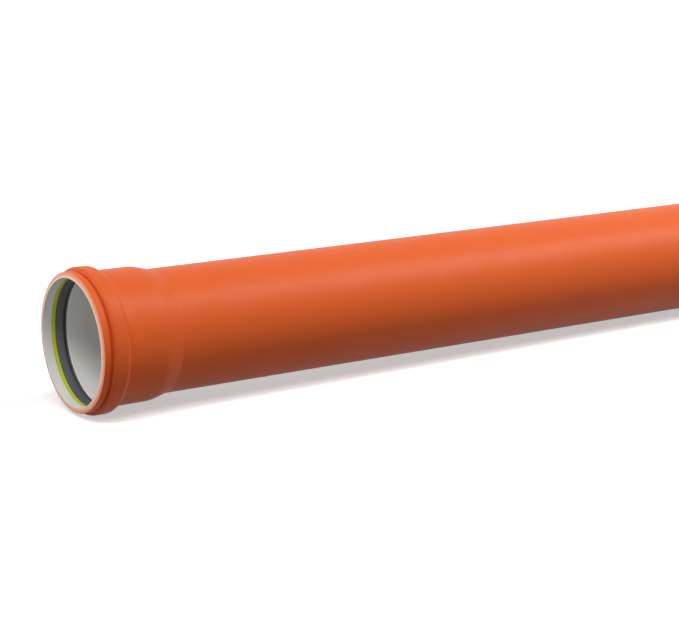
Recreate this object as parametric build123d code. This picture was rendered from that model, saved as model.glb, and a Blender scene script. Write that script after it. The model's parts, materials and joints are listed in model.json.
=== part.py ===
from build123d import *

import os
from math import hypot, radians, tan

# Socketed polypropylene sewer pipe, all sizes in millimetres and degrees.
# The pipe's axis is X. The socket mouth faces -X and the spigot end faces +X.
# The origin lies on the axis where the socket's parallel bore ends, the seat of an inserted spigot.

# Barrel
pipe_diameter = 110.0
pipe_wall = 3.8
pale_layer = 1.5
laying_length = 1000.0

# Spigot end, chamfered in the orange layer down to a narrow land
spigot_chamfer_angle = 15.0
spigot_land = 0.6

# Socket, from the mouth to the end of its parallel bore, and the shoulder down to the barrel
socket_depth = 59.3
socket_clearance = 0.4
shoulder_angle = 15.0
shoulder_crest_round = 26.0
shoulder_foot_round = 6.5

# Lip in front of the bead, with a bore that narrows a little towards the mouth and a rim that slopes back
lip_length = 8.1
lip_mouth_clearance = 1.0
lip_clearance = 1.7
lip_wall = 4.3
lip_rim_setback = 0.9
lip_edge_round = 1.2

# Groove for the seal inside the bead
groove_lead = 0.9
groove_floor = 10.6
groove_depth = 5.0
groove_front_angle = 69.0
groove_rear_angle = 65.0
groove_front_round = 0.8
groove_rear_round = 1.2
groove_edge_round = 0.6

# Outside bends of the bead
bead_foot_round = 0.4
bead_front_round = 2.4
bead_rear_foot_round = 0.8

# Retaining ring of the seal
ring_foot = 3.2
ring_mouth_setback = 0.5
ring_throat_clearance = 2.0
ring_nose_length = 3.75
ring_nose_round = 0.3

# Rubber seal: a notch behind the ring, a heel on the groove's rear wall and a lip level with the socket bore
seal_notch_depth = 0.8
seal_notch_width = 0.75
seal_heel_height = 3.6
seal_lip_setback = 0.1
seal_lip_short = 1.1
seal_lip_tip = 0.9
seal_lip_root = 2.4
seal_undercut = 3.4
seal_tip_round = 0.35

# Radii worked out from the driving sizes
pipe_radius = pipe_diameter / 2
bore_radius = pipe_radius - pipe_wall
socket_radius = pipe_radius + socket_clearance
lip_mouth_radius = pipe_radius + lip_mouth_clearance
lip_radius = pipe_radius + lip_clearance
lip_outer_radius = lip_radius + lip_wall
groove_radius = socket_radius + groove_depth
crown_radius = groove_radius + pipe_wall


def run(rise, angle):
    """Length along the axis in which a face at this angle to the axis rises by this much."""
    return rise / tan(radians(angle))


def over(corner, angle):
    """Outer corner that keeps the full wall over an inner corner where the wall bends by this angle."""
    x, r = corner
    return (x + pipe_wall * tan(radians(angle / 2)), r + pipe_wall)


# Stations along the axis, from the mouth to the spigot end
mouth = -socket_depth
bead_foot = mouth + lip_length
lip_end = bead_foot + groove_lead
groove_front = lip_end + run(groove_radius - lip_radius, groove_front_angle)
groove_rear = groove_front + groove_floor
socket_start = groove_rear + run(groove_depth, groove_rear_angle)
shoulder_start = shoulder_crest_round * tan(radians(shoulder_angle / 2))
shoulder_end = shoulder_start + run(socket_radius - bore_radius, shoulder_angle)
spigot_end = laying_length

# Inside of the wall, as corners (x, radius) and the rounding of each corner between the two ends
inner_corners = [
    (mouth, lip_mouth_radius),
    (lip_end, lip_radius),
    (groove_front, groove_radius),
    (groove_rear, groove_radius),
    (socket_start, socket_radius),
    (shoulder_start, socket_radius),
    (shoulder_end, bore_radius),
    (spigot_end, bore_radius),
]
inner_rounds = [
    groove_edge_round,
    groove_front_round,
    groove_rear_round,
    groove_edge_round,
    shoulder_crest_round,
    shoulder_foot_round,
]

# Outside of the wall, corner for corner over the inside
outer_corners = [
    (mouth + lip_rim_setback, lip_outer_radius),
    (bead_foot, lip_outer_radius),
    (bead_foot + run(crown_radius - lip_outer_radius, groove_front_angle), crown_radius),
    over(inner_corners[3], groove_rear_angle),
    over(inner_corners[4], groove_rear_angle),
    over(inner_corners[5], shoulder_angle),
    over(inner_corners[6], shoulder_angle),
    (spigot_end, pipe_radius),
]
outer_rounds = [
    bead_foot_round,
    bead_front_round,
    groove_rear_round + pipe_wall,
    bead_rear_foot_round,
    shoulder_crest_round + pipe_wall,
    max(shoulder_foot_round - pipe_wall, bead_foot_round),
]


def between(inner, outer):
    """Value that lies as deep in the wall as the face between the pale and the orange layer."""
    return inner + (outer - inner) * pale_layer / pipe_wall


# Face between the two layers, at the same share of the wall everywhere
layer_corners = [
    (between(inner[0], outer[0]), between(inner[1], outer[1]))
    for inner, outer in zip(inner_corners, outer_corners)
]
layer_rounds = [between(inner, outer) for inner, outer in zip(inner_rounds, outer_rounds)]


def turn(before, corner, after):
    """Angle in degrees by which a line turns at a corner."""
    arriving = Vector(*corner) - Vector(*before)
    leaving = Vector(*after) - Vector(*corner)
    return arriving.get_angle(leaving)


def eased(corners, rounds):
    """Rounds cut down where two neighbours would meet on the straight between their corners."""
    reach = [0.0]
    for i, wanted in enumerate(rounds):
        reach.append(wanted * tan(radians(turn(*corners[i : i + 3]) / 2)))
    reach.append(0.0)
    share = [1.0] * len(corners)
    for i in range(len(corners) - 1):
        (x0, r0), (x1, r1) = corners[i : i + 2]
        needed = reach[i] + reach[i + 1]
        room = 0.95 * hypot(x1 - x0, r1 - r0)
        if needed > room:
            share[i] = min(share[i], room / needed)
            share[i + 1] = min(share[i + 1], room / needed)
    return [wanted * cut for wanted, cut in zip(rounds, share[1:-1])]


def contour(corners, rounds):
    """Line through the corners with each corner between the ends rounded."""
    return FilletPolyline(*corners, radius=eased(corners, rounds))


def turned(outline):
    """Solid of revolution about the pipe's axis from a closed outline of edges in the XY plane."""
    return revolve(make_face(outline), Axis.X)


def wall_layer(inside, outside):
    """Layer of the wall between two contours that start at the mouth and meet at both ends."""
    return turned(outside.edges() + inside.edges())


def make_inner_layer():
    """Pale inner layer of the wall, with its two end faces."""
    corners = [layer_corners[0]] + inner_corners + [layer_corners[-1]]
    rounds = [0.0] + inner_rounds + [0.0]
    return wall_layer(contour(corners, rounds), contour(layer_corners, layer_rounds))


def make_outer_layer():
    """Orange outer layer of the wall, with the rounded rim and the spigot's chamfer and end face."""
    layer_end_radius = layer_corners[-1][1]
    tip_radius = layer_end_radius + spigot_land
    chamfer_start = (spigot_end - run(pipe_radius - tip_radius, spigot_chamfer_angle), pipe_radius)
    at_spigot = [chamfer_start, (spigot_end, tip_radius), layer_corners[-1]]
    corners = [layer_corners[0]] + outer_corners[:-1] + at_spigot
    rounds = [lip_edge_round] + outer_rounds + [0.0, 0.0]
    return wall_layer(contour(layer_corners, layer_rounds), contour(corners, rounds))


# Corners that the retaining ring and the rubber share
ring_heel = (groove_front + ring_foot, groove_radius)
ring_throat = (lip_end + ring_nose_length, pipe_radius + ring_throat_clearance)


def make_retaining_ring():
    """Yellow-green ring against the groove's front wall, a little wider than the lip's bore."""
    nose_radius = lip_radius + ring_mouth_setback
    nose = (lip_end + run(ring_mouth_setback, groove_front_angle), nose_radius)
    corners = [nose, (groove_front, groove_radius), ring_heel, ring_throat]
    rounds = [ring_nose_round, groove_front_round, 0.0, 0.0]
    return turned(FilletPolyline(*corners, radius=rounds, close=True).edges())


def make_rubber_seal():
    """Rubber ring behind the retaining ring: notch, heel, undercut and a lip that points into the socket."""
    throat_x, throat_radius = ring_throat
    heel_x, heel_foot_radius = ring_heel
    notch_share = seal_notch_depth / (heel_foot_radius - throat_radius)
    notch = (throat_x + notch_share * (heel_x - throat_x), throat_radius + seal_notch_depth)
    brow = (throat_x + seal_notch_width, throat_radius)
    heel_radius = groove_radius - seal_heel_height
    heel_tip = (groove_rear + run(seal_heel_height, groove_rear_angle), heel_radius)
    tip_x = groove_rear - seal_lip_short
    tip_radius = socket_radius + seal_lip_setback
    tip_inside = (tip_x, tip_radius)
    tip_outside = (tip_x, tip_radius + seal_lip_tip)
    valley = (groove_rear - seal_undercut, tip_radius + seal_lip_root)
    at_groove = [ring_heel, (groove_rear, groove_radius), heel_tip]
    lip = [valley, tip_outside, tip_inside, brow]
    soft = seal_tip_round
    rounds = [0.0, groove_rear_round, soft, soft, soft, soft, soft, 0.0]
    return turned(FilletPolyline(*at_groove, *lip, notch, radius=rounds, close=True).edges())


nodes = {
    "outer_layer": make_outer_layer(),
    "inner_layer": make_inner_layer(),
    "retaining_ring": make_retaining_ring(),
    "rubber_seal": make_rubber_seal(),
}

os.makedirs("parts", exist_ok=True)
for name, solid in nodes.items():
    export_step(solid, os.path.join("parts", name + ".step"))
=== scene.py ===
"""Looks of a socketed polypropylene sewer pipe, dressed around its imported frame.

The pipe's axis is X, its socket mouth faces -X, its spigot end faces +X, and +Z is up.
Sizes are metres, unless a name ends in mm.
"""

import json
import logging
import math
from dataclasses import dataclass
from enum import Enum
from typing import Any

import bpy
from mathutils import Matrix, Vector

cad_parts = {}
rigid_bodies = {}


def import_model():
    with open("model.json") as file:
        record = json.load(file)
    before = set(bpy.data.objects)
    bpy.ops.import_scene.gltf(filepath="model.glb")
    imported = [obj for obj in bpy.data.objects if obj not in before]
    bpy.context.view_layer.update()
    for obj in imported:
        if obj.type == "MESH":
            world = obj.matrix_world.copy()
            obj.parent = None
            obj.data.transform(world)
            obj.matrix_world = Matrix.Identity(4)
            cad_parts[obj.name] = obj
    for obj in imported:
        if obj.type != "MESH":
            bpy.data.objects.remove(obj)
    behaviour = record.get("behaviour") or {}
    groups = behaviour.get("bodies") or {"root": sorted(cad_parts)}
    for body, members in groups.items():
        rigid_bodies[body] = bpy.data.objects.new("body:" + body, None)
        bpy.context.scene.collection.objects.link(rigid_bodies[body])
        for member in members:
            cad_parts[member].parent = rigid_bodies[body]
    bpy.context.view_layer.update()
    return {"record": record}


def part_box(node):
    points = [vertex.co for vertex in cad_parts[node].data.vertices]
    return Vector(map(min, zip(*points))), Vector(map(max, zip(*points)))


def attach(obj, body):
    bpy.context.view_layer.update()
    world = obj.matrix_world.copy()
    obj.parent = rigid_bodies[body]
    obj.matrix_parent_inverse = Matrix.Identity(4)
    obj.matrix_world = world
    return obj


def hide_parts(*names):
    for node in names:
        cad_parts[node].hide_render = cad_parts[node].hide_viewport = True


LOG = logging.getLogger("sewer_pipe")
MM = 0.001
BODY = "root"
WHITE = (1.0, 1.0, 1.0, 1.0)
# Octaves of noise in a pattern: fine lines and grain, slow mottling and wear, soft patches
FINE_OCTAVES = 3.0
SLOW_OCTAVES = 2.0
SOFT_OCTAVES = 1.0
# Radians by which a wave texture turns in one unit of length at a scale of one
WAVE_RATE = 20.0
Point = tuple[float, float]


class Ray(Enum):
    """Kinds of ray that see the white studio instead of its light on the object."""

    CAMERA = "Is Camera Ray"
    GLOSSY = "Is Glossy Ray"
    TRANSMISSION = "Is Transmission Ray"


def linear(code: str) -> tuple[float, float, float, float]:
    """Turn an sRGB hex colour into the linear values that the shaders take.

    Args:
        code: Colour as "#rrggbb".

    Returns:
        Linear red, green, blue and an alpha of one.
    """
    shares = [int(code[i : i + 2], 16) / 255 for i in (1, 3, 5)]
    values = [s / 12.92 if s <= 0.04045 else ((s + 0.055) / 1.055) ** 2.4 for s in shares]
    return (values[0], values[1], values[2], 1.0)


def add_node(
    tree: bpy.types.NodeTree, kind: str, inputs: dict | None = None, **settings: Any
) -> bpy.types.Node:
    """Add one node with its settings, its values and its links.

    Args:
        tree: Tree that gets the node.
        kind: Blender's name of the node type.
        inputs: Input name or number to a value, or to the output socket that feeds it.
        settings: Attributes of the node itself.

    Returns:
        The new node.
    """
    node = tree.nodes.new(kind)
    for name, value in settings.items():
        setattr(node, name, value)
    for key, value in (inputs or {}).items():
        if isinstance(value, bpy.types.NodeSocket):
            tree.links.new(value, node.inputs[key])
        else:
            node.inputs[key].default_value = value
    return node


@dataclass(frozen=True)
class Contour:
    """Line in the half plane of x and radius, given by its corners.

    Attributes:
        corners: Corner points as (x, radius).
        rounds: Rounding radius of each corner, zero where it stays sharp.
        stride: Longest straight step between two points.
        arc_step: Largest turn in degrees between two points of an arc.
        fewest_steps: Fewest steps in an arc.
    """

    corners: tuple[Point, ...]
    rounds: tuple[float, ...]
    stride: float = 0.02
    arc_step: float = 7.0
    fewest_steps: int = 3

    def points(self) -> list[Point]:
        """Follow the line with its corners rounded and its long straights divided.

        Returns:
            Points along the line, from its first corner to its last.
        """
        bent: list[Vector] = []
        for i, corner in enumerate(self.corners):
            inside = 0 < i < len(self.corners) - 1
            bent += self._arc(i) if inside and self.rounds[i] > 0 else [Vector(corner)]
        line = [bent[0]]
        for point in bent[1:]:
            start = line[-1]
            parts = max(1, math.ceil((point - start).length / self.stride))
            line += [start.lerp(point, k / parts) for k in range(1, parts + 1)]
        return [(p.x, p.y) for p in line]

    def _arc(self, i: int) -> list[Vector]:
        """Give the points of the arc that rounds one corner.

        Args:
            i: Number of the corner.

        Returns:
            Points of the arc, in the order of the line.
        """
        corner = Vector(self.corners[i])
        back = (Vector(self.corners[i - 1]) - corner).normalized()
        onward = (Vector(self.corners[i + 1]) - corner).normalized()
        half_turn = (math.pi - back.angle(onward)) / 2
        radius = self.rounds[i]
        centre = corner + (back + onward).normalized() * radius / math.cos(half_turn)
        first = corner + back * radius * math.tan(half_turn) - centre
        last = corner + onward * radius * math.tan(half_turn) - centre
        sweep = first.angle_signed(last)
        steps = max(self.fewest_steps, math.ceil(math.degrees(abs(sweep)) / self.arc_step))
        return [centre + Matrix.Rotation(-sweep * k / steps, 2) @ first for k in range(steps + 1)]


@dataclass(frozen=True)
class PipeSection:
    """Half section of the pipe's wall and of the two rings in its socket.

    Attributes:
        mouth: Place of the socket mouth on the axis.
        spigot_end: Place of the spigot's end face on the axis.
        pipe_radius: Outer radius of the barrel.
        bore_radius: Inner radius of the barrel.
        socket_radius: Inner radius of the socket.
    """

    mouth: float
    spigot_end: float
    pipe_radius: float
    bore_radius: float
    socket_radius: float
    # Pale layer of the wall
    pale_layer: float = 1.5 * MM
    # Chamfer of the spigot, down to a narrow land
    spigot_chamfer_angle: float = 15.0
    spigot_land: float = 0.6 * MM
    # Shoulder between the socket and the barrel
    shoulder_angle: float = 15.0
    shoulder_crest_round: float = 26 * MM
    shoulder_foot_round: float = 6.5 * MM
    # Lip in front of the bead, with a rim that slopes back
    lip_length: float = 8.1 * MM
    lip_mouth_clearance: float = 1.0 * MM
    lip_clearance: float = 1.7 * MM
    lip_wall: float = 4.3 * MM
    lip_rim_setback: float = 0.9 * MM
    lip_edge_round: float = 1.2 * MM
    # Crease at the bead's foot and soft crest behind it, which only the scene has
    crease_lead: float = 1.2 * MM
    crease_lag: float = 0.2 * MM
    crease_depth: float = 2.0 * MM
    crease_edge_round: float = 0.8 * MM
    crease_floor_round: float = 0.3 * MM
    crest_round: float = 3.0 * MM
    # Groove for the seal inside the bead
    groove_lead: float = 0.9 * MM
    groove_floor: float = 10.6 * MM
    groove_depth: float = 5.0 * MM
    groove_front_angle: float = 69.0
    groove_rear_angle: float = 65.0
    groove_front_round: float = 0.8 * MM
    groove_rear_round: float = 1.2 * MM
    groove_edge_round: float = 0.6 * MM
    # Bends at the bead, of which the first two only shape the face between the layers
    bead_foot_round: float = 0.4 * MM
    bead_front_round: float = 2.4 * MM
    bead_rear_foot_round: float = 0.8 * MM
    # Retaining ring of the seal
    ring_foot: float = 3.2 * MM
    ring_mouth_setback: float = 0.5 * MM
    ring_throat_clearance: float = 2.0 * MM
    ring_nose_length: float = 3.75 * MM
    ring_nose_round: float = 0.3 * MM
    # Rubber: notch, heel, lip and undercut, with a thinner heel and a deeper undercut than the solid's
    seal_notch_depth: float = 0.8 * MM
    seal_notch_width: float = 0.75 * MM
    seal_heel_height: float = 4.4 * MM
    seal_heel_skin: float = 0.6 * MM
    seal_lip_setback: float = 0.1 * MM
    seal_lip_short: float = 1.1 * MM
    seal_lip_tip: float = 0.9 * MM
    seal_undercut_floor: float = 0.9 * MM
    seal_undercut: float = 4.6 * MM
    seal_tip_round: float = 0.35 * MM
    seal_skin_round: float = 0.175 * MM

    @property
    def wall(self) -> float:
        """Thickness of the barrel's wall."""
        return self.pipe_radius - self.bore_radius

    @property
    def lip_radius(self) -> float:
        """Inner radius of the lip where it opens into the groove."""
        return self.pipe_radius + self.lip_clearance

    @property
    def groove_radius(self) -> float:
        """Radius of the floor of the seal's groove."""
        return self.socket_radius + self.groove_depth

    @property
    def crown_radius(self) -> float:
        """Outer radius of the bead."""
        return self.groove_radius + self.wall

    @property
    def lip_end(self) -> float:
        """Place where the lip's bore opens into the groove."""
        return self.mouth + self.lip_length + self.groove_lead

    @property
    def groove_front(self) -> float:
        """Place where the groove's front wall meets its floor."""
        return self.lip_end + self.run(self.groove_radius - self.lip_radius, self.groove_front_angle)

    @property
    def groove_rear(self) -> float:
        """Place where the groove's floor meets its rear wall."""
        return self.groove_front + self.groove_floor

    @staticmethod
    def run(rise: float, angle: float) -> float:
        """Length along the axis in which a face at this angle rises by this much."""
        return rise / math.tan(math.radians(angle))

    def over(self, corner: Point, angle: float) -> Point:
        """Outer corner that keeps the full wall over an inner corner that bends by this angle."""
        return (corner[0] + self.wall * math.tan(math.radians(angle / 2)), corner[1] + self.wall)

    def inside(self) -> Contour:
        """Trace the inside of the wall, from the mouth to the spigot end.

        Returns:
            The open contour.
        """
        shoulder_start = self.shoulder_crest_round * math.tan(math.radians(self.shoulder_angle / 2))
        narrowing = self.socket_radius - self.bore_radius
        shoulder_end = shoulder_start + self.run(narrowing, self.shoulder_angle)
        socket_start = self.groove_rear + self.run(self.groove_depth, self.groove_rear_angle)
        corners = (
            (self.mouth, self.pipe_radius + self.lip_mouth_clearance),
            (self.lip_end, self.lip_radius),
            (self.groove_front, self.groove_radius),
            (self.groove_rear, self.groove_radius),
            (socket_start, self.socket_radius),
            (shoulder_start, self.socket_radius),
            (shoulder_end, self.bore_radius),
            (self.spigot_end, self.bore_radius),
        )
        rounds = (
            0.0,
            self.groove_edge_round,
            self.groove_front_round,
            self.groove_rear_round,
            self.groove_edge_round,
            self.shoulder_crest_round,
            self.shoulder_foot_round,
            0.0,
        )
        return Contour(corners, rounds)

    def outside(self) -> Contour:
        """Trace the outside of the wall, corner for corner over the inside.

        Returns:
            The open contour.
        """
        inner = self.inside().corners
        lip_outer = self.lip_radius + self.lip_wall
        bead_foot = self.mouth + self.lip_length
        bead_front = bead_foot + self.run(self.crown_radius - lip_outer, self.groove_front_angle)
        corners = (
            (self.mouth + self.lip_rim_setback, lip_outer),
            (bead_foot, lip_outer),
            (bead_front, self.crown_radius),
            self.over(inner[3], self.groove_rear_angle),
            self.over(inner[4], self.groove_rear_angle),
            self.over(inner[5], self.shoulder_angle),
            self.over(inner[6], self.shoulder_angle),
            (self.spigot_end, self.pipe_radius),
        )
        rounds = (
            0.0,
            self.bead_foot_round,
            self.bead_front_round,
            self.groove_rear_round + self.wall,
            self.bead_rear_foot_round,
            self.shoulder_crest_round + self.wall,
            self.shoulder_foot_round - self.wall,
            0.0,
        )
        return Contour(corners, rounds)

    def layer_face(self) -> Contour:
        """Trace the face between the two layers, at the same share of the wall everywhere.

        Returns:
            The open contour.
        """
        share = self.pale_layer / self.wall
        inner, outer = self.inside(), self.outside()
        corners = tuple(
            (a[0] + (b[0] - a[0]) * share, a[1] + (b[1] - a[1]) * share)
            for a, b in zip(inner.corners, outer.corners)
        )
        rounds = tuple(a + (b - a) * share for a, b in zip(inner.rounds, outer.rounds))
        return Contour(corners, rounds)

    @property
    def chamfer_start(self) -> float:
        """Place where the spigot's chamfer begins."""
        depth = self.wall - self.pale_layer - self.spigot_land
        return self.spigot_end - self.run(depth, self.spigot_chamfer_angle)

    def orange_loop(self) -> list[Point]:
        """Trace the orange layer: rounded lip, crease at the bead's foot and chamfered spigot.

        Returns:
            Points of the closed section.
        """
        outside, layer = self.outside(), self.layer_face()
        tip = self.bore_radius + self.pale_layer + self.spigot_land
        chamfer = ((self.chamfer_start, self.pipe_radius), (self.spigot_end, tip))
        rim, foot, *beyond = outside.corners[:-1]
        crease_edge = (foot[0] - self.crease_lead, foot[1])
        crease_floor = (foot[0] + self.crease_lag, foot[1] - self.crease_depth)
        crease = (crease_edge, crease_floor)
        corners = (layer.corners[0], rim, *crease, *beyond, *chamfer, layer.corners[-1])
        at_crease = (self.crease_edge_round, self.crease_floor_round, self.crest_round)
        rounds = (0.0, self.lip_edge_round, *at_crease, *outside.rounds[3:-1], 0.0, 0.0, 0.0)
        return Contour(corners, rounds).points() + layer.points()[-2:0:-1]

    def pale_loop(self) -> list[Point]:
        """Closed section of the pale layer."""
        return self.layer_face().points() + self.inside().points()[::-1]

    def ring_heel(self) -> Point:
        """Corner that the retaining ring and the rubber share on the groove's floor."""
        return (self.groove_front + self.ring_foot, self.groove_radius)

    def ring_throat(self) -> Point:
        """Corner that the retaining ring and the rubber share on the inside."""
        return (self.lip_end + self.ring_nose_length, self.pipe_radius + self.ring_throat_clearance)

    def ring_loop(self) -> list[Point]:
        """Trace the retaining ring, a little wider than the lip's bore.

        Returns:
            Points of the closed section.
        """
        heel, throat = self.ring_heel(), self.ring_throat()
        nose_run = self.run(self.ring_mouth_setback, self.groove_front_angle)
        nose = (self.lip_end + nose_run, self.lip_radius + self.ring_mouth_setback)
        corners = (throat, nose, (self.groove_front, self.groove_radius), heel, throat)
        rounds = (0.0, self.ring_nose_round, self.groove_front_round, 0.0, 0.0)
        return Contour(corners, rounds).points()[:-1]

    def seal_loop(self) -> list[Point]:
        """Trace the rubber: notch, heel, undercut and a lip that points into the socket.

        Returns:
            Points of the closed section.
        """
        heel, throat = self.ring_heel(), self.ring_throat()
        notch_share = self.seal_notch_depth / (heel[1] - throat[1])
        notch = (throat[0] + notch_share * (heel[0] - throat[0]), throat[1] + self.seal_notch_depth)
        heel_run = self.run(self.seal_heel_height, self.groove_rear_angle)
        heel_tip = (self.groove_rear + heel_run, self.groove_radius - self.seal_heel_height)
        tip_radius = self.socket_radius + self.seal_lip_setback
        tip = self.groove_rear - self.seal_lip_short
        floor = self.groove_radius - self.seal_undercut_floor
        corners = (
            notch,
            heel,
            (self.groove_rear, self.groove_radius),
            heel_tip,
            (heel_tip[0] - self.seal_heel_skin, heel_tip[1]),
            (self.groove_rear - self.seal_heel_skin, floor),
            (self.groove_rear - self.seal_undercut, floor),
            (tip, tip_radius + self.seal_lip_tip),
            (tip, tip_radius),
            (throat[0] + self.seal_notch_width, throat[1]),
            notch,
        )
        at_heel = (0.0, 0.0, self.groove_rear_round, 0.0, self.seal_skin_round)
        soft = self.seal_tip_round
        rounds = (*at_heel, soft, soft, soft, soft, soft, 0.0)
        return Contour(corners, rounds).points()[:-1]


@dataclass(frozen=True)
class Turning:
    """One turned piece: its section, its materials and what it stands for.

    Attributes:
        name: Name of the piece.
        node: Solid of the frame that it stands for.
        slot: Material slot of the record; not used.
        loop: Closed section, as points of x and radius.
        skin: Material of the moulded or extruded surface.
        cut: Material of the sawn faces.
        cuts: Faces before the first and after the second place on the axis are sawn.
    """

    name: str
    node: str
    slot: str
    loop: list[Point]
    skin: bpy.types.Material
    cut: bpy.types.Material
    cuts: Point


class Lathe:
    """Geometry Nodes tree that turns a closed section about the X axis into a ring or tube."""

    SEGMENTS = 288
    WELD = 1e-6
    SHARP_BEND = math.radians(32.0)

    def __init__(self) -> None:
        """Build the tree once for every turned piece."""
        self.tree = bpy.data.node_groups.new("turn_about_axis", "GeometryNodeTree")
        self.ids: dict[str, str] = {}
        self._socket("Section", "NodeSocketGeometry")
        self._socket("Segments", "NodeSocketInt")
        self._socket("Cut Before", "NodeSocketFloat")
        self._socket("Cut After", "NodeSocketFloat")
        self._socket("Skin", "NodeSocketMaterial")
        self._socket("Cut", "NodeSocketMaterial")
        self.tree.interface.new_socket("Solid", in_out="OUTPUT", socket_type="NodeSocketGeometry")
        self._build()

    def _socket(self, name: str, kind: str) -> None:
        """Add a named input and keep its identifier."""
        made = self.tree.interface.new_socket(name, in_out="INPUT", socket_type=kind)
        self.ids[name] = made.identifier

    def _build(self) -> None:
        """Lay out the nodes: a grid of section points by segments, wrapped round the axis."""
        tree = self.tree
        given = add_node(tree, "NodeGroupInput").outputs
        size = add_node(tree, "GeometryNodeAttributeDomainSize", {0: given["Section"]})
        count, round_steps = size.outputs["Point Count"], given["Segments"]
        whole = "FunctionNodeIntegerMath"
        rows = add_node(tree, whole, {0: count, 1: 1}, operation="ADD").outputs[0]
        columns = add_node(tree, whole, {0: round_steps, 1: 1}, operation="ADD").outputs[0]
        grid = add_node(tree, "GeometryNodeMeshGrid", {"Vertices X": rows, "Vertices Y": columns})
        index = add_node(tree, "GeometryNodeInputIndex").outputs[0]
        row = add_node(tree, whole, {0: index, 1: columns}, operation="DIVIDE_FLOOR").outputs[0]
        column = add_node(tree, whole, {0: index, 1: columns}, operation="MODULO").outputs[0]
        wrapped = add_node(tree, whole, {0: row, 1: count}, operation="MODULO").outputs[0]
        place = add_node(tree, "GeometryNodeInputPosition").outputs[0]
        sample = add_node(
            tree,
            "GeometryNodeSampleIndex",
            {"Geometry": given["Section"], "Value": place, "Index": wrapped},
            data_type="FLOAT_VECTOR",
            domain="POINT",
        )
        station = add_node(tree, "ShaderNodeSeparateXYZ", {0: sample.outputs[0]}).outputs
        real = "ShaderNodeMath"
        share = add_node(tree, real, {0: column, 1: round_steps}, operation="DIVIDE").outputs[0]
        angle = add_node(tree, real, {0: share, 1: math.tau}, operation="MULTIPLY").outputs[0]
        across = add_node(tree, real, {0: angle}, operation="SINE").outputs[0]
        upward = add_node(tree, real, {0: angle}, operation="COSINE").outputs[0]
        y = add_node(tree, real, {0: across, 1: station["Y"]}, operation="MULTIPLY").outputs[0]
        z = add_node(tree, real, {0: upward, 1: station["Y"]}, operation="MULTIPLY").outputs[0]
        turned = add_node(tree, "ShaderNodeCombineXYZ", {"X": station["X"], "Y": y, "Z": z}).outputs[0]
        moved = {"Geometry": grid.outputs["Mesh"], "Position": turned}
        wrap = add_node(tree, "GeometryNodeSetPosition", moved)
        welded = {0: wrap.outputs[0], "Distance": self.WELD}
        closed = add_node(tree, "GeometryNodeMergeByDistance", welded)
        shaded = {0: closed.outputs[0], "Shade Smooth": True}
        smooth = add_node(tree, "GeometryNodeSetShadeSmooth", shaded)
        test = "FunctionNodeCompare"
        bend = {0: add_node(tree, "GeometryNodeInputMeshEdgeAngle").outputs[0], 1: self.SHARP_BEND}
        sharp = add_node(tree, test, bend, operation="GREATER_THAN").outputs[0]
        edged = add_node(
            tree,
            "GeometryNodeSetShadeSmooth",
            {0: smooth.outputs[0], "Selection": sharp, "Shade Smooth": False},
            domain="EDGE",
        )
        x = add_node(tree, "ShaderNodeSeparateXYZ", {0: place}).outputs["X"]
        before = add_node(tree, test, {0: x, 1: given["Cut Before"]}, operation="LESS_THAN").outputs[0]
        after = add_node(tree, test, {0: x, 1: given["Cut After"]}, operation="GREATER_THAN").outputs[0]
        either = {0: before, 1: after}
        ends = add_node(tree, "FunctionNodeBooleanMath", either, operation="OR").outputs[0]
        solid = add_node(tree, "GeometryNodeRealizeInstances", {0: edged.outputs[0]})
        covered = {0: solid.outputs[0], "Material": given["Skin"]}
        skin = add_node(tree, "GeometryNodeSetMaterial", covered)
        sawn = {0: skin.outputs[0], "Selection": ends, "Material": given["Cut"]}
        done = add_node(tree, "GeometryNodeSetMaterial", sawn)
        add_node(tree, "NodeGroupOutput", {0: done.outputs[0]})

    def turn(self, job: Turning) -> bpy.types.Object:
        """Turn one section into a finished piece.

        Args:
            job: What is turned.

        Returns:
            The piece, with its modifier already turned into a plain mesh.
        """
        section = bpy.data.meshes.new(job.name + "_section")
        section.from_pydata([(x, r, 0.0) for x, r in job.loop], [], [])
        piece = bpy.data.objects.new(job.name, section)
        bpy.context.scene.collection.objects.link(piece)
        modifier = piece.modifiers.new("turn", "NODES")
        modifier.node_group = self.tree
        values = {
            "Segments": self.SEGMENTS,
            "Cut Before": job.cuts[0],
            "Cut After": job.cuts[1],
            "Skin": job.skin,
            "Cut": job.cut,
        }
        for key, value in values.items():
            modifier[self.ids[key]] = value
        evaluated = piece.evaluated_get(bpy.context.evaluated_depsgraph_get())
        solid = bpy.data.meshes.new_from_object(evaluated)
        # The grid brings an empty slot along, before those of the skin and the cut.
        solid.materials.pop(index=0)
        piece.modifiers.clear()
        piece.data = solid
        solid.name = job.name
        bpy.data.meshes.remove(section)
        return piece


@dataclass(frozen=True)
class Pattern:
    """Sockets that give a finish its detail, each running from zero to one.

    Attributes:
        tint: How far the colour goes over to the shade.
        gloss: How far the skin goes over to its roughest.
        height: Height of the relief.
    """

    tint: bpy.types.NodeSocket
    gloss: bpy.types.NodeSocket
    height: bpy.types.NodeSocket


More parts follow.
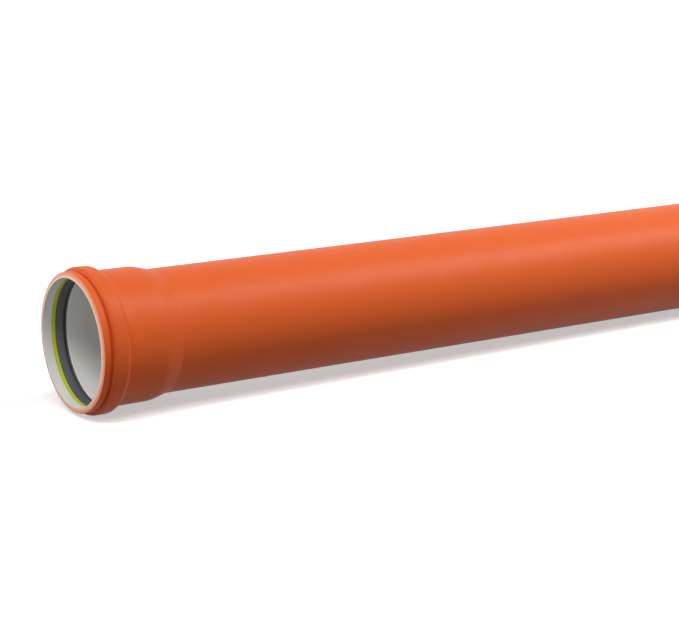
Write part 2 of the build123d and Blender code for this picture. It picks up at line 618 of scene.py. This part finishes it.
@dataclass(frozen=True)
class Finish:
    """Surface of one material, with its patterns in real sizes on Object coordinates.

    Attributes:
        name: Name of the material.
        colour: Main colour.
        shade: Colour that the pattern goes over to.
        roughness: Mean roughness.
        gloss_spread: How far the roughness strays to either side.
        relief_mm: Height of the relief.
        specular: Strength of the reflection, where one half is the plain value for the index.
        ior: Index of refraction.
    """

    name: str
    colour: str
    shade: str
    roughness: float
    gloss_spread: float = 0.04
    relief_mm: float = 0.012
    specular: float = 0.5
    ior: float = 1.49

    def pattern(self, tree: bpy.types.NodeTree, where: bpy.types.NodeSocket) -> Pattern:
        """Draw the finish's own pattern; each kind of finish has one."""
        raise NotImplementedError

    def material(self) -> bpy.types.Material:
        """Build the material: one shader fed by the finish's own pattern.

        Returns:
            The new material.
        """
        made = bpy.data.materials.new(self.name)
        made.use_nodes = True
        tree = made.node_tree
        tree.nodes.clear()
        where = add_node(tree, "ShaderNodeTexCoord").outputs["Object"]
        drawn = self.pattern(tree, where)
        colours = {"Factor": drawn.tint, "A": linear(self.colour), "B": linear(self.shade)}
        tint = add_node(tree, "ShaderNodeMix", colours, data_type="RGBA")
        low, high = self.roughness - self.gloss_spread, self.roughness + self.gloss_spread
        spread = {"Value": drawn.gloss, "To Min": low, "To Max": high}
        gloss = add_node(tree, "ShaderNodeMapRange", spread)
        raised = {"Height": drawn.height, "Distance": self.relief_mm * MM}
        relief = add_node(tree, "ShaderNodeBump", raised)
        surface = {
            "Base Color": tint.outputs["Result"],
            "Roughness": gloss.outputs[0],
            "Normal": relief.outputs[0],
            "IOR": self.ior,
            "Specular IOR Level": self.specular,
        }
        shader = add_node(tree, "ShaderNodeBsdfPrincipled", surface)
        add_node(tree, "ShaderNodeOutputMaterial", {"Surface": shader.outputs[0]})
        return made


@dataclass(frozen=True)
class ExtrudedPolypropylene(Finish):
    """Extruded polypropylene: even colour, a soft waxy gloss and faint lines drawn by the die.

    Attributes:
        line_mm: Spacing of the die lines round the pipe.
        line_run: How many times longer than wide a die line is.
        mottle_mm: Size of the slow changes in colour and gloss.
        scuff_mm: Width of the scuffs that handling leaves along the pipe.
        scuff_run: How many times longer than wide a scuff is.
        scuff_turn: Slant of the scuffs to the axis, in degrees.
        scuff_start: Level of the noise where a scuff begins to dull the skin.
        scuff_full: Level of the noise where it has dulled the skin fully.
    """

    line_mm: float = 2.2
    line_run: float = 50.0
    mottle_mm: float = 38.0
    scuff_mm: float = 1.3
    scuff_run: float = 14.0
    scuff_turn: float = 5.0
    scuff_start: float = 0.64
    scuff_full: float = 0.78

    def pattern(self, tree: bpy.types.NodeTree, where: bpy.types.NodeSocket) -> Pattern:
        """Draw die lines along the axis, slow mottling and sparse scuffs.

        Args:
            tree: Tree of the material.
            where: Object coordinates.

        Returns:
            The finished pattern.
        """
        # Real die lines are a few tenths of a millimetre apart, so they are drawn coarser to show.
        noise = "ShaderNodeTexNoise"
        along = {"Vector": where, "Scale": (1 / self.line_run, 1.0, 1.0)}
        drawn = add_node(tree, "ShaderNodeMapping", along).outputs[0]
        fine = {"Vector": drawn, "Scale": 1 / (self.line_mm * MM), "Detail": FINE_OCTAVES}
        lines = add_node(tree, noise, fine).outputs["Fac"]
        slow = {"Vector": where, "Scale": 1 / (self.mottle_mm * MM), "Detail": SLOW_OCTAVES}
        mottle = add_node(tree, noise, slow).outputs["Fac"]
        slant = (0.0, 0.0, math.radians(self.scuff_turn))
        rubbed = {"Vector": where, "Rotation": slant, "Scale": (1 / self.scuff_run, 1.0, 1.0)}
        dragged = add_node(tree, "ShaderNodeMapping", rubbed).outputs[0]
        worn = {"Vector": dragged, "Scale": 1 / (self.scuff_mm * MM), "Detail": SLOW_OCTAVES}
        streaks = add_node(tree, noise, worn).outputs["Fac"]
        rare = {"Value": streaks, "From Min": self.scuff_start, "From Max": self.scuff_full}
        scuffs = add_node(tree, "ShaderNodeMapRange", rare).outputs[0]
        tint = add_node(tree, "ShaderNodeMath", {0: lines, 1: mottle}, operation="MULTIPLY")
        gloss = add_node(tree, "ShaderNodeMath", {0: mottle, 1: scuffs}, operation="MAXIMUM")
        return Pattern(tint.outputs[0], gloss.outputs[0], lines)


@dataclass(frozen=True)
class SawnPolypropyleneWithPaintedGlow(Finish):
    """Sawn polypropylene: pale from the saw, paler and peachier still by a painted glow of light
    through the wall at the cut, with fine rings.

    Attributes:
        inner_mm: Radius where the colour begins.
        outer_mm: Radius where it has gone over to the shade.
        ring_mm: Spacing of the saw's rings.
        ring_tint: Share of the rings in the colour.
        ring_waver: How far the rings stray from round.
    """

    inner_mm: float = 56.0
    outer_mm: float = 61.0
    ring_mm: float = 0.55
    ring_tint: float = 0.15
    ring_waver: float = 1.5

    def pattern(self, tree: bpy.types.NodeTree, where: bpy.types.NodeSocket) -> Pattern:
        """Draw the change of colour through the wall and the rings round the axis.

        Args:
            tree: Tree of the material.
            where: Object coordinates.

        Returns:
            The finished pattern.
        """
        # A saw's rings are about a tenth of a millimetre apart, so they are drawn coarser to show.
        sawn = {
            "Vector": where,
            "Scale": math.tau / (WAVE_RATE * self.ring_mm * MM),
            "Distortion": self.ring_waver,
            "Detail": SLOW_OCTAVES,
        }
        wave = add_node(tree, "ShaderNodeTexWave", sawn, wave_type="RINGS", rings_direction="X")
        rings = wave.outputs["Fac"]
        flat = {"Vector": where, "Scale": (0.0, 1.0, 1.0)}
        across = add_node(tree, "ShaderNodeMapping", flat).outputs[0]
        # Painted glow: the colour is palest at the inner radius and goes over to the shade at the
        # outer.
        radius = add_node(tree, "ShaderNodeVectorMath", {0: across}, operation="LENGTH")
        wall = {
            "Value": radius.outputs["Value"],
            "From Min": self.inner_mm * MM,
            "From Max": self.outer_mm * MM,
        }
        depth = add_node(tree, "ShaderNodeMapRange", wall).outputs[0]
        blend = {0: rings, 1: self.ring_tint, 2: depth}
        tint = add_node(tree, "ShaderNodeMath", blend, operation="MULTIPLY_ADD", use_clamp=True)
        return Pattern(tint.outputs[0], rings, rings)


@dataclass(frozen=True)
class MouldedSkin(Finish):
    """Moulded plastic or rubber: the even grain of the mould's wall, dulled in slow patches.

    Attributes:
        grain_mm: Size of the grain.
        patch_mm: Size of the patches.
    """

    grain_mm: float = 0.8
    patch_mm: float = 9.0

    def pattern(self, tree: bpy.types.NodeTree, where: bpy.types.NodeSocket) -> Pattern:
        """Draw the mould's grain and the patches.

        Args:
            tree: Tree of the material.
            where: Object coordinates.

        Returns:
            The finished pattern.
        """
        # The real grain of a mould's wall is about 0.1 mm, so it is drawn coarser to show.
        noise = "ShaderNodeTexNoise"
        fine = {"Vector": where, "Scale": 1 / (self.grain_mm * MM), "Detail": FINE_OCTAVES}
        grain = add_node(tree, noise, fine).outputs["Fac"]
        slow = {"Vector": where, "Scale": 1 / (self.patch_mm * MM), "Detail": SOFT_OCTAVES}
        patches = add_node(tree, noise, slow).outputs["Fac"]
        return Pattern(grain, patches, grain)


@dataclass
class SewerPipe:
    """The pipe: two layers of wall and the two rings of its seal.

    Attributes:
        section: Section of the four pieces.
        cut_wrap: Share of the rim's rounded edge that is sawn, and so takes the sawn faces' pale colour
            and painted glow.
        cut_margin: How near to the spigot's end a face has to lie to be sawn.
        clear_of_pipe: Distance beyond both ends, where a piece has no face to saw.
    """

    section: PipeSection
    cut_wrap: float = 0.25
    cut_margin: float = 0.05 * MM
    clear_of_pipe: float = 1.0

    def build(self) -> None:
        """Turn, dress and seat every piece of the pipe."""
        lathe = Lathe()
        for job in self.jobs():
            piece = lathe.turn(job)
            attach(piece, BODY)
            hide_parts(job.node)
            LOG.info("%s: %d faces", job.name, len(piece.data.polygons))

    def jobs(self) -> list[Turning]:
        """Plan the four turned pieces.

        Returns:
            One turning for each piece.
        """
        # Polypropylene drawn through a die: waxy half gloss, and the colour runs right through.
        orange = ExtrudedPolypropylene(
            "orange_polypropylene_extruded", "#DD602A", "#D75B25", roughness=0.42, specular=0.14
        ).material()
        pale = ExtrudedPolypropylene(
            "pale_polypropylene_extruded", "#F3F2F1", "#EEEDEC", roughness=0.44, specular=0.15
        ).material()
        # The same plastic under the saw: dull and pale, deepening in colour outward, and paler still by
        # a painted glow of light through the wall at the cut.
        orange_cut = SawnPolypropyleneWithPaintedGlow(
            "orange_polypropylene_sawn_painted_glow",
            "#FBB596",
            "#EE8D63",
            roughness=0.62,
            inner_mm=58.0,
            relief_mm=0.03,
        ).material()
        pale_cut = SawnPolypropyleneWithPaintedGlow(
            "pale_polypropylene_sawn_painted_glow",
            "#FEDFCC",
            "#FBC2A8",
            roughness=0.62,
            outer_mm=58.0,
            relief_mm=0.03,
        ).material()
        # Polypropylene injected into a polished mould: clean satin with hardly any grain.
        lime = MouldedSkin(
            "lime_polypropylene_moulded", "#D2DB26", "#C8D020", roughness=0.4, relief_mm=0.01
        ).material()
        # Rubber pressed in a mould: dark grey, dull, with a soft sheen where it bends.
        rubber = MouldedSkin(
            "seal_rubber_moulded", "#57585B", "#505154", roughness=0.5, relief_mm=0.02, ior=1.52
        ).material()
        part = self.section
        mouth_cut = part.mouth + part.lip_rim_setback
        rim_cuts = (mouth_cut + part.lip_edge_round * self.cut_wrap, part.chamfer_start)
        face_cuts = (mouth_cut, part.spigot_end - self.cut_margin)
        uncut = (part.mouth - self.clear_of_pipe, part.spigot_end + self.clear_of_pipe)
        wall = (
            Turning(
                "pipe_outer_layer", "outer_layer", "orange_polypropylene",
                part.orange_loop(), orange, orange_cut, rim_cuts,
            ),
            Turning(
                "pipe_inner_layer", "inner_layer", "pale_polypropylene",
                part.pale_loop(), pale, pale_cut, face_cuts,
            ),
        )
        seal = (
            Turning(
                "seal_retaining_ring", "retaining_ring", "lime_polypropylene",
                part.ring_loop(), lime, lime, uncut,
            ),
            Turning(
                "rubber_lip_seal", "rubber_seal", "black_rubber",
                part.seal_loop(), rubber, rubber, uncut,
            ),
        )
        return [*wall, *seal]


def direction(azimuth: float, elevation: float) -> Vector:
    """Point towards a place seen from the pipe.

    Args:
        azimuth: Degrees round the vertical, where 0 is -Y and 90 is +X.
        elevation: Degrees above the level.

    Returns:
        Unit vector towards the place.
    """
    turn, rise = math.radians(azimuth), math.radians(elevation)
    level = math.cos(rise)
    return Vector((math.sin(turn) * level, -math.cos(turn) * level, math.sin(rise)))


@dataclass(frozen=True)
class Softbox:
    """Rectangular studio lamp.

    Attributes:
        name: Name of the lamp.
        place: Where it hangs.
        target: What it points at.
        size: Its two sides.
        power: Its power in watts.
    """

    name: str
    place: tuple[float, float, float]
    target: tuple[float, float, float]
    size: tuple[float, float]
    power: float

    def hang(self) -> None:
        """Add the lamp to the scene."""
        lamp = bpy.data.lights.new(self.name, "AREA")
        lamp.shape = "RECTANGLE"
        lamp.size, lamp.size_y = self.size
        lamp.energy = self.power
        holder = bpy.data.objects.new(self.name, lamp)
        holder.location = self.place
        aim = Vector(self.target) - Vector(self.place)
        holder.rotation_euler = aim.to_track_quat("-Z", "Y").to_euler()
        bpy.context.scene.collection.objects.link(holder)


@dataclass(frozen=True)
class BroadSun:
    """Broad even light from far away, as from a large window.

    Attributes:
        name: Name of the light.
        azimuth: Direction that it comes from, in degrees.
        elevation: Height that it comes from, in degrees.
        breadth: Its apparent width, in degrees.
        level: Brightness of a white surface that faces it.
    """

    name: str
    azimuth: float
    elevation: float
    breadth: float
    level: float

    def hang(self) -> None:
        """Add the light to the scene."""
        lamp = bpy.data.lights.new(self.name, "SUN")
        lamp.energy = math.pi * self.level
        lamp.angle = math.radians(self.breadth)
        holder = bpy.data.objects.new(self.name, lamp)
        aim = -direction(self.azimuth, self.elevation)
        holder.rotation_euler = aim.to_track_quat("-Z", "Y").to_euler()
        bpy.context.scene.collection.objects.link(holder)


@dataclass
class Studio:
    """White studio: floor, light and the camera at the photograph's viewing angle.

    Attributes:
        section: Section of the pipe, for the floor that it lies on.
        camera_aim: Point on the optical axis beside the pipe's axis.
        camera_azimuth: Direction that the camera looks from, in degrees.
        camera_elevation: Height that the camera looks from, in degrees.
        camera_distance: Distance from the camera to its aim.
        camera_lens_mm: Focal length on Blender's default sensor.
        floor_reach: Distance from the bead to the floor's edges.
        floor_glow: Light that the floor adds to its own colour to be seen as white.
        floor_seen: Colour of the floor as it is seen, with the pipe's shadow on it.
        floor_dull: Colour of the floor for the light that it throws back on the pipe.
        ambient: Strength of the even light from all round.
    """

    section: PipeSection
    camera_aim: tuple[float, float, float] = (0.2162, -0.0017, -0.0062)
    camera_azimuth: float = -34.26
    camera_elevation: float = 12.42
    camera_distance: float = 1.742
    camera_lens_mm: float = 99.03
    floor_reach: float = 30.0
    floor_glow: float = 0.47
    floor_seen: str = "#E8E8E8"
    floor_dull: str = "#808080"
    ambient: float = 0.03

    def set_up(self) -> None:
        """Build the whole studio."""
        self.add_floor()
        self.add_world()
        self.add_camera()
        for lamp in self.lamps():
            lamp.hang()
        bpy.context.scene.view_settings.view_transform = "Standard"

    def lamps(self) -> list[BroadSun | Softbox]:
        """Give the lights: key from above left, front light, sheen from the right, fills and a strip.

        Returns:
            The lights, not yet hung.
        """
        return [
            BroadSun("key_light", azimuth=288.0, elevation=59.0, breadth=24.0, level=0.39),
            BroadSun("front_light", azimuth=338.0, elevation=60.0, breadth=28.0, level=0.20),
            BroadSun("sheen_light", azimuth=56.0, elevation=44.0, breadth=24.0, level=0.33),
            BroadSun("mouth_fill", azimuth=344.0, elevation=12.0, breadth=24.0, level=0.09),
            BroadSun("side_fill", azimuth=241.0, elevation=9.0, breadth=36.0, level=0.45),
            BroadSun("right_fill", azimuth=36.0, elevation=18.0, breadth=30.0, level=0.02),
            Softbox(
                "overhead_softbox",
                place=(1.35, -0.45, 1.30),
                target=(1.35, 0.0, 0.0),
                size=(2.0, 0.22),
                power=10.0,
            ),
        ]

    @staticmethod
    def seen(tree: bpy.types.NodeTree) -> bpy.types.NodeSocket:
        """Tell the rays that look at the studio from the rays that carry its light to the object.

        Args:
            tree: Tree of the shader.

        Returns:
            One for a ray that looks at the studio, and zero for any other.
        """
        path = add_node(tree, "ShaderNodeLightPath").outputs
        found = path[Ray.CAMERA.value]
        for ray in (Ray.GLOSSY, Ray.TRANSMISSION):
            either = {0: found, 1: path[ray.value]}
            found = add_node(tree, "ShaderNodeMath", either, operation="MAXIMUM").outputs[0]
        return found

    def add_world(self) -> None:
        """Fill the room with a weak even light, seen as white."""
        world = bpy.data.worlds.new("studio")
        bpy.context.scene.world = world
        world.use_nodes = True
        tree = world.node_tree
        tree.nodes.clear()
        fill = add_node(tree, "ShaderNodeBackground", {"Color": WHITE, "Strength": self.ambient})
        white = add_node(tree, "ShaderNodeBackground", {"Color": WHITE, "Strength": 1.0})
        sides = {0: self.seen(tree), 1: fill.outputs[0], 2: white.outputs[0]}
        both = add_node(tree, "ShaderNodeMixShader", sides)
        add_node(tree, "ShaderNodeOutputWorld", {"Surface": both.outputs[0]})

    def add_floor(self) -> None:
        """Lay the floor against the bead and the spigot end, which carry the pipe."""
        part = self.section
        bead = Vector((part.groove_rear, 0.0, -part.crown_radius))
        spigot = Vector((part.chamfer_start, 0.0, -part.pipe_radius))
        along = (spigot - bead).normalized() * self.floor_reach
        side = Vector((0.0, self.floor_reach, 0.0))
        near, far = bead - along, bead + along
        corners = [near - side, far - side, far + side, near + side]
        mesh = bpy.data.meshes.new("floor")
        mesh.from_pydata(corners, [], [(0, 1, 2, 3)])
        floor = bpy.data.objects.new("floor", mesh)
        bpy.context.scene.collection.objects.link(floor)
        paper = bpy.data.materials.new("floor_paper")
        paper.use_nodes = True
        tree = paper.node_tree
        tree.nodes.clear()
        lit = add_node(tree, "ShaderNodeBsdfDiffuse", {"Color": linear(self.floor_seen)})
        glow = add_node(tree, "ShaderNodeEmission", {"Strength": self.floor_glow})
        shown = add_node(tree, "ShaderNodeAddShader", {0: lit.outputs[0], 1: glow.outputs[0]})
        dull = add_node(tree, "ShaderNodeBsdfDiffuse", {"Color": linear(self.floor_dull)})
        sides = {0: self.seen(tree), 1: dull.outputs[0], 2: shown.outputs[0]}
        both = add_node(tree, "ShaderNodeMixShader", sides)
        add_node(tree, "ShaderNodeOutputMaterial", {"Surface": both.outputs[0]})
        mesh.materials.append(paper)

    def add_camera(self) -> None:
        """Place the camera and make it the scene's own."""
        back = direction(self.camera_azimuth, self.camera_elevation)
        camera = bpy.data.objects.new("camera", bpy.data.cameras.new("camera"))
        camera.data.lens = self.camera_lens_mm
        camera.location = Vector(self.camera_aim) + back * self.camera_distance
        tilt = math.radians(90.0 - self.camera_elevation)
        camera.rotation_euler = (tilt, 0.0, math.radians(self.camera_azimuth))
        bpy.context.scene.collection.objects.link(camera)
        bpy.context.scene.camera = camera


def mount_radius(record: dict, name: str) -> float:
    """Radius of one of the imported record's round mounts, in metres."""
    return next(m["dims"]["r_mm"] for m in record["mounts"] if m["name"] == name) * MM


def main() -> None:
    """Load the frame, build the pipe and its studio."""
    logging.basicConfig(level=logging.INFO, format="%(name)s: %(message)s")
    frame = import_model()
    low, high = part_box("inner_layer")
    record = frame["record"]
    section = PipeSection(
        mouth=low.x,
        spigot_end=high.x,
        pipe_radius=mount_radius(record, "spigot"),
        bore_radius=mount_radius(record, "flow_bore"),
        socket_radius=mount_radius(record, "socket"),
    )
    SewerPipe(section).build()
    Studio(section).set_up()


if __name__ == "__main__":
    main()
